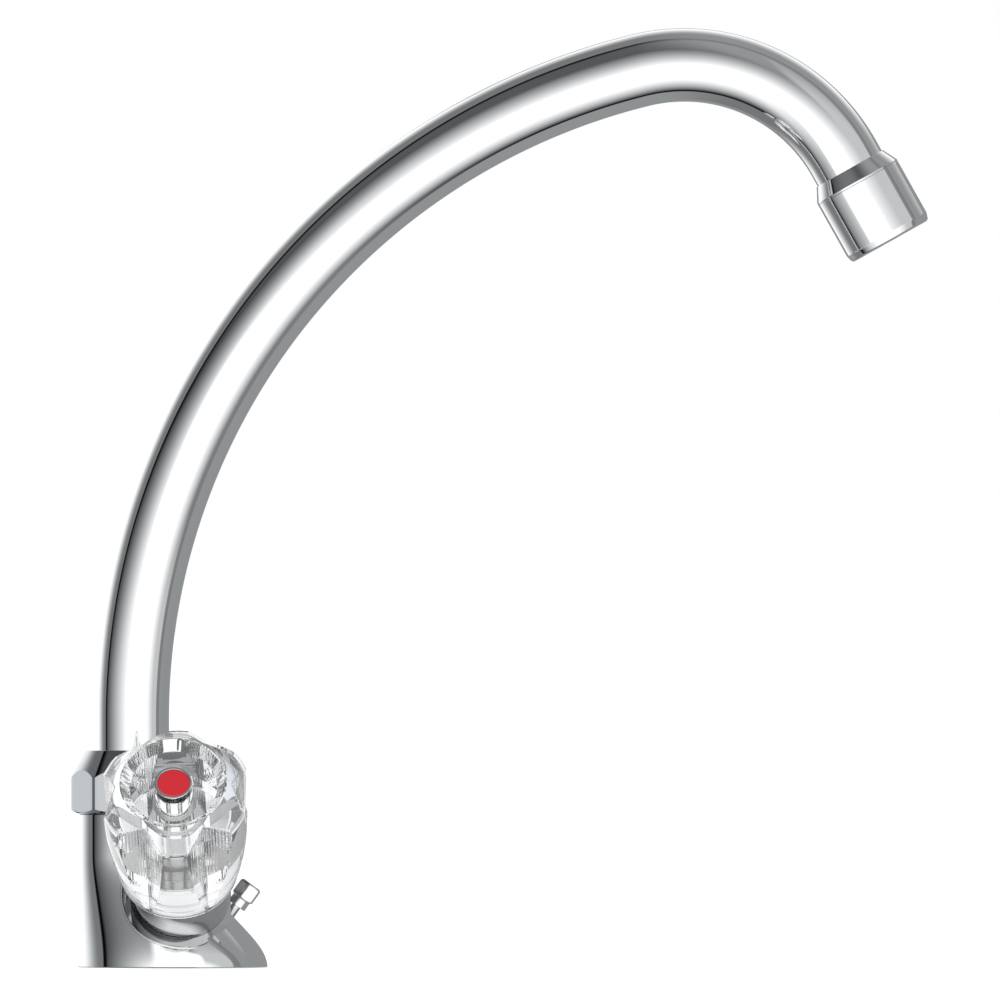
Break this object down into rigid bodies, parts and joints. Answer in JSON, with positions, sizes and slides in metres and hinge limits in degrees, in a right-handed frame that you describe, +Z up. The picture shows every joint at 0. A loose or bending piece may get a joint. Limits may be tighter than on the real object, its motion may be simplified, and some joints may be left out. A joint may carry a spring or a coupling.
{
  "type": "mixer tap",
  "caption": "Deck-mounted mixer tap with a bell-shaped body, a swivelling swan-neck spout with an aerator, and two inclined screw-down valves with clear lobed handles.",
  "frame": {"origin": "centre of the round foot, on the deck", "axes": "+X the way the spout reaches, +Z up along the spout's axis, hot valve at -Y and cold valve at +Y"},
  "size_m": [0.2569, 0.1566, 0.2814],
  "materials": {
    "chrome": "polished plating",
    "brass": "machined",
    "steel": "plain stainless",
    "black_rubber": "moulded",
    "clear_acrylic": "clear, polished",
    "white_plastic": "moulded",
    "red_fibre": "pressed fibre",
    "red_plastic": "gloss",
    "blue_plastic": "gloss"
  },
  "bodies": {
    "body": {"body_casting": "chrome", "base_seal": "black_rubber", "spout_nut": "chrome", "spout_glide_washer": "white_plastic", "spout_slip_ring": "white_plastic", "chain_stay_screw": "chrome", "chain_stay_collar": "chrome", "hot_bonnet": "chrome", "hot_bonnet_gasket": "red_fibre", "hot_sleeve": "chrome", "cold_bonnet": "chrome", "cold_bonnet_gasket": "red_fibre", "cold_sleeve": "chrome"},
    "spout": {"spout_foot_bush": "brass", "spout_o_rings": "black_rubber", "spout_tube": "chrome", "outlet_collar": "chrome", "aerator_housing": "chrome", "aerator_washer": "black_rubber", "aerator_insert": "white_plastic", "aerator_screen": "steel"},
    "hot_handle": {"hot_grip": "clear_acrylic", "hot_spline_insert": "steel", "hot_handle_screw": "steel", "hot_index_cap": "chrome", "hot_index_disc": "red_plastic", "hot_spindle": "brass", "hot_spindle_o_ring": "black_rubber", "hot_spindle_clip": "steel"},
    "hot_valve": {"hot_piston": "brass", "hot_seat_washer": "black_rubber", "hot_washer_screw": "brass"},
    "cold_handle": {"cold_grip": "clear_acrylic", "cold_spline_insert": "steel", "cold_handle_screw": "steel", "cold_index_cap": "chrome", "cold_index_disc": "blue_plastic", "cold_spindle": "brass", "cold_spindle_o_ring": "black_rubber", "cold_spindle_clip": "steel"},
    "cold_valve": {"cold_piston": "brass", "cold_seat_washer": "black_rubber", "cold_washer_screw": "brass"}
  },
  "joints": [
    {"name": "spout_swivel", "type": "hinge", "parent": "body", "child": "spout", "pos_m": [-0.012, 0, 0], "axis": [0, 0, 1], "continuous": true},
    {"name": "hot_turn", "type": "hinge", "parent": "body", "child": "hot_handle", "pos_m": [0.0025, -0.0175, 0.02075], "axis": [-0.0275, -0.8286, 0.5592], "range_deg": [0, 900]},
    {"name": "hot_lift", "type": "slide", "parent": "body", "child": "hot_valve", "axis": [-0.0275, -0.8286, 0.5592], "range_m": [0, 0.00375]},
    {"name": "cold_turn", "type": "hinge", "parent": "body", "child": "cold_handle", "pos_m": [0.0025, 0.0175, 0.02075], "axis": [-0.0275, 0.8286, 0.5592], "range_deg": [0, 900]},
    {"name": "cold_lift", "type": "slide", "parent": "body", "child": "cold_valve", "axis": [-0.0275, 0.8286, 0.5592], "range_m": [0, 0.00375]}
  ],
  "couplings": [
    {"joint": "hot_lift", "follows": "hot_turn", "m_per_rad": 0.00023873},
    {"joint": "cold_lift", "follows": "cold_turn", "m_per_rad": 0.00023873}
  ]
}
